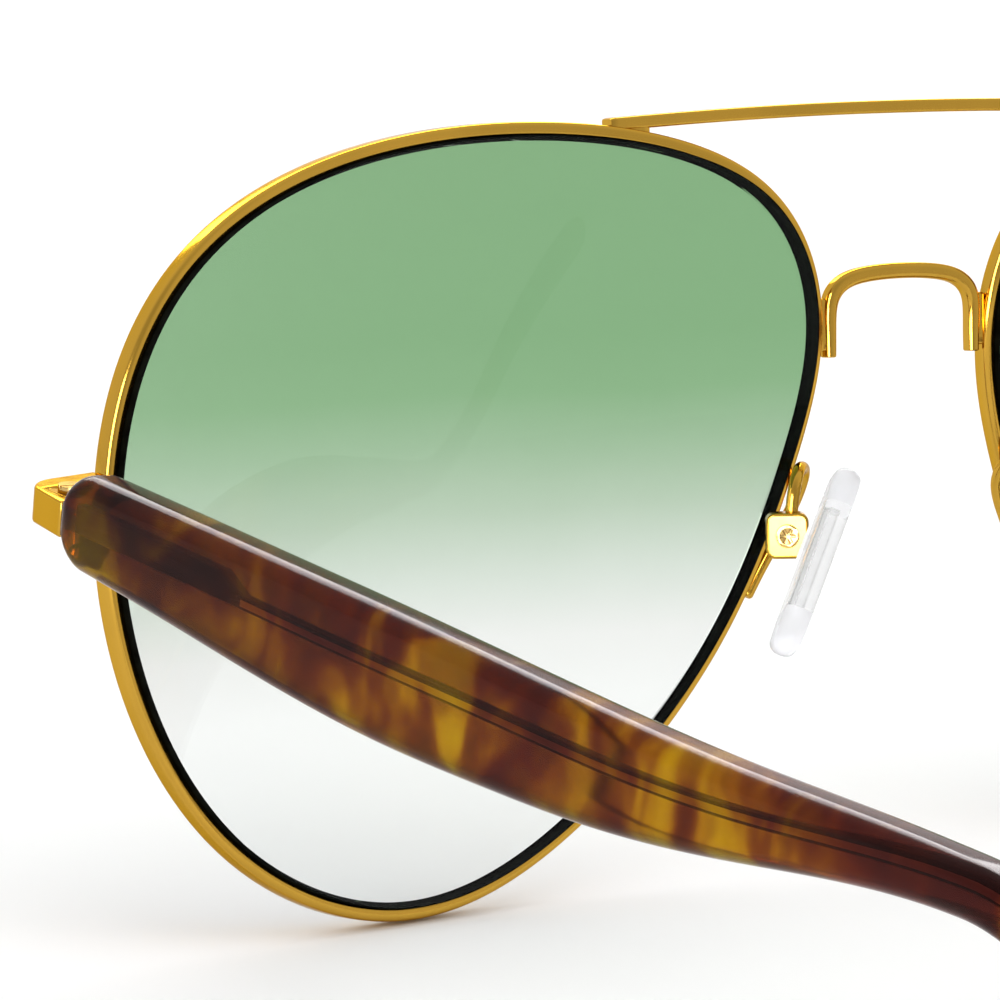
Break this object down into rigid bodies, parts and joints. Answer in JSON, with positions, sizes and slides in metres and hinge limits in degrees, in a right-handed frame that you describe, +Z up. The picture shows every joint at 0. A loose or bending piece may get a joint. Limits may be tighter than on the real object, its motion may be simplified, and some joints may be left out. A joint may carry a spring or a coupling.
{
  "type": "aviator sunglasses",
  "caption": "Metal-framed aviator sunglasses with a double bridge, gradient tinted lenses, folding acetate temples and adjustable nose pads.",
  "frame": {"origin": "on the surface that the open glasses stand on, at the centre of their footprint", "axes": "+Z up, the front faces -Y and the temples run towards +Y, +X is the wearer's left"},
  "size_m": [0.1432, 0.1486, 0.0508],
  "materials": {
    "gold_metal": "polished gold-toned plating",
    "screw_metal": "polished gold-toned screws",
    "lens_tint": "green tint fading to clear towards the bottom",
    "tortoise_acetate": "satin-polished tortoiseshell acetate, dark red-brown with amber patches",
    "core_metal": "nickel silver core wire, seen through the acetate",
    "pad_silicone": "clear soft silicone with frosted ends",
    "pad_plate": "clear hard plastic insert"
  },
  "bodies": {
    "front": {"bridge": "gold_metal", "brow_bar": "gold_metal", "left_rim": "gold_metal", "left_lens": "lens_tint", "left_endpiece": "gold_metal", "left_upper_rim_lock": "gold_metal", "left_lower_rim_lock": "gold_metal", "left_rim_lock_screw": "screw_metal", "left_front_hinge": "gold_metal", "left_hinge_screw": "screw_metal", "left_pad_arm": "gold_metal", "left_pad_box": "gold_metal", "left_pad_screw": "screw_metal", "right_rim": "gold_metal", "right_lens": "lens_tint", "right_endpiece": "gold_metal", "right_upper_rim_lock": "gold_metal", "right_lower_rim_lock": "gold_metal", "right_rim_lock_screw": "screw_metal", "right_front_hinge": "gold_metal", "right_hinge_screw": "screw_metal", "right_pad_arm": "gold_metal", "right_pad_box": "gold_metal", "right_pad_screw": "screw_metal"},
    "left_temple_arm": {"left_temple_hinge": "gold_metal", "left_temple_core": "core_metal", "left_temple": "tortoise_acetate"},
    "left_pad": {"left_pad_insert": "pad_plate", "left_nose_pad": "pad_silicone"},
    "right_temple_arm": {"right_temple_hinge": "gold_metal", "right_temple_core": "core_metal", "right_temple": "tortoise_acetate"},
    "right_pad": {"right_pad_insert": "pad_plate", "right_nose_pad": "pad_silicone"}
  },
  "joints": [
    {"name": "left_temple_fold", "type": "hinge", "parent": "front", "child": "left_temple_arm", "pos_m": [0.0685, -0.06184, 0.02836], "axis": [0, 0, 1], "range_deg": [0, 88]},
    {"name": "right_temple_fold", "type": "hinge", "parent": "front", "child": "right_temple_arm", "pos_m": [-0.0685, -0.06184, 0.02836], "axis": [0, 0, -1], "range_deg": [0, 72]},
    {"name": "left_pad_rock", "type": "hinge", "parent": "front", "child": "left_pad", "pos_m": [0.01194, -0.06511, 0.02355], "axis": [0.5446, 0.8259, 0.1456], "range_deg": [-6, 6]},
    {"name": "right_pad_rock", "type": "hinge", "parent": "front", "child": "right_pad", "pos_m": [-0.01194, -0.06511, 0.02355], "axis": [-0.5446, 0.8259, 0.1456], "range_deg": [-6, 6]}
  ]
}
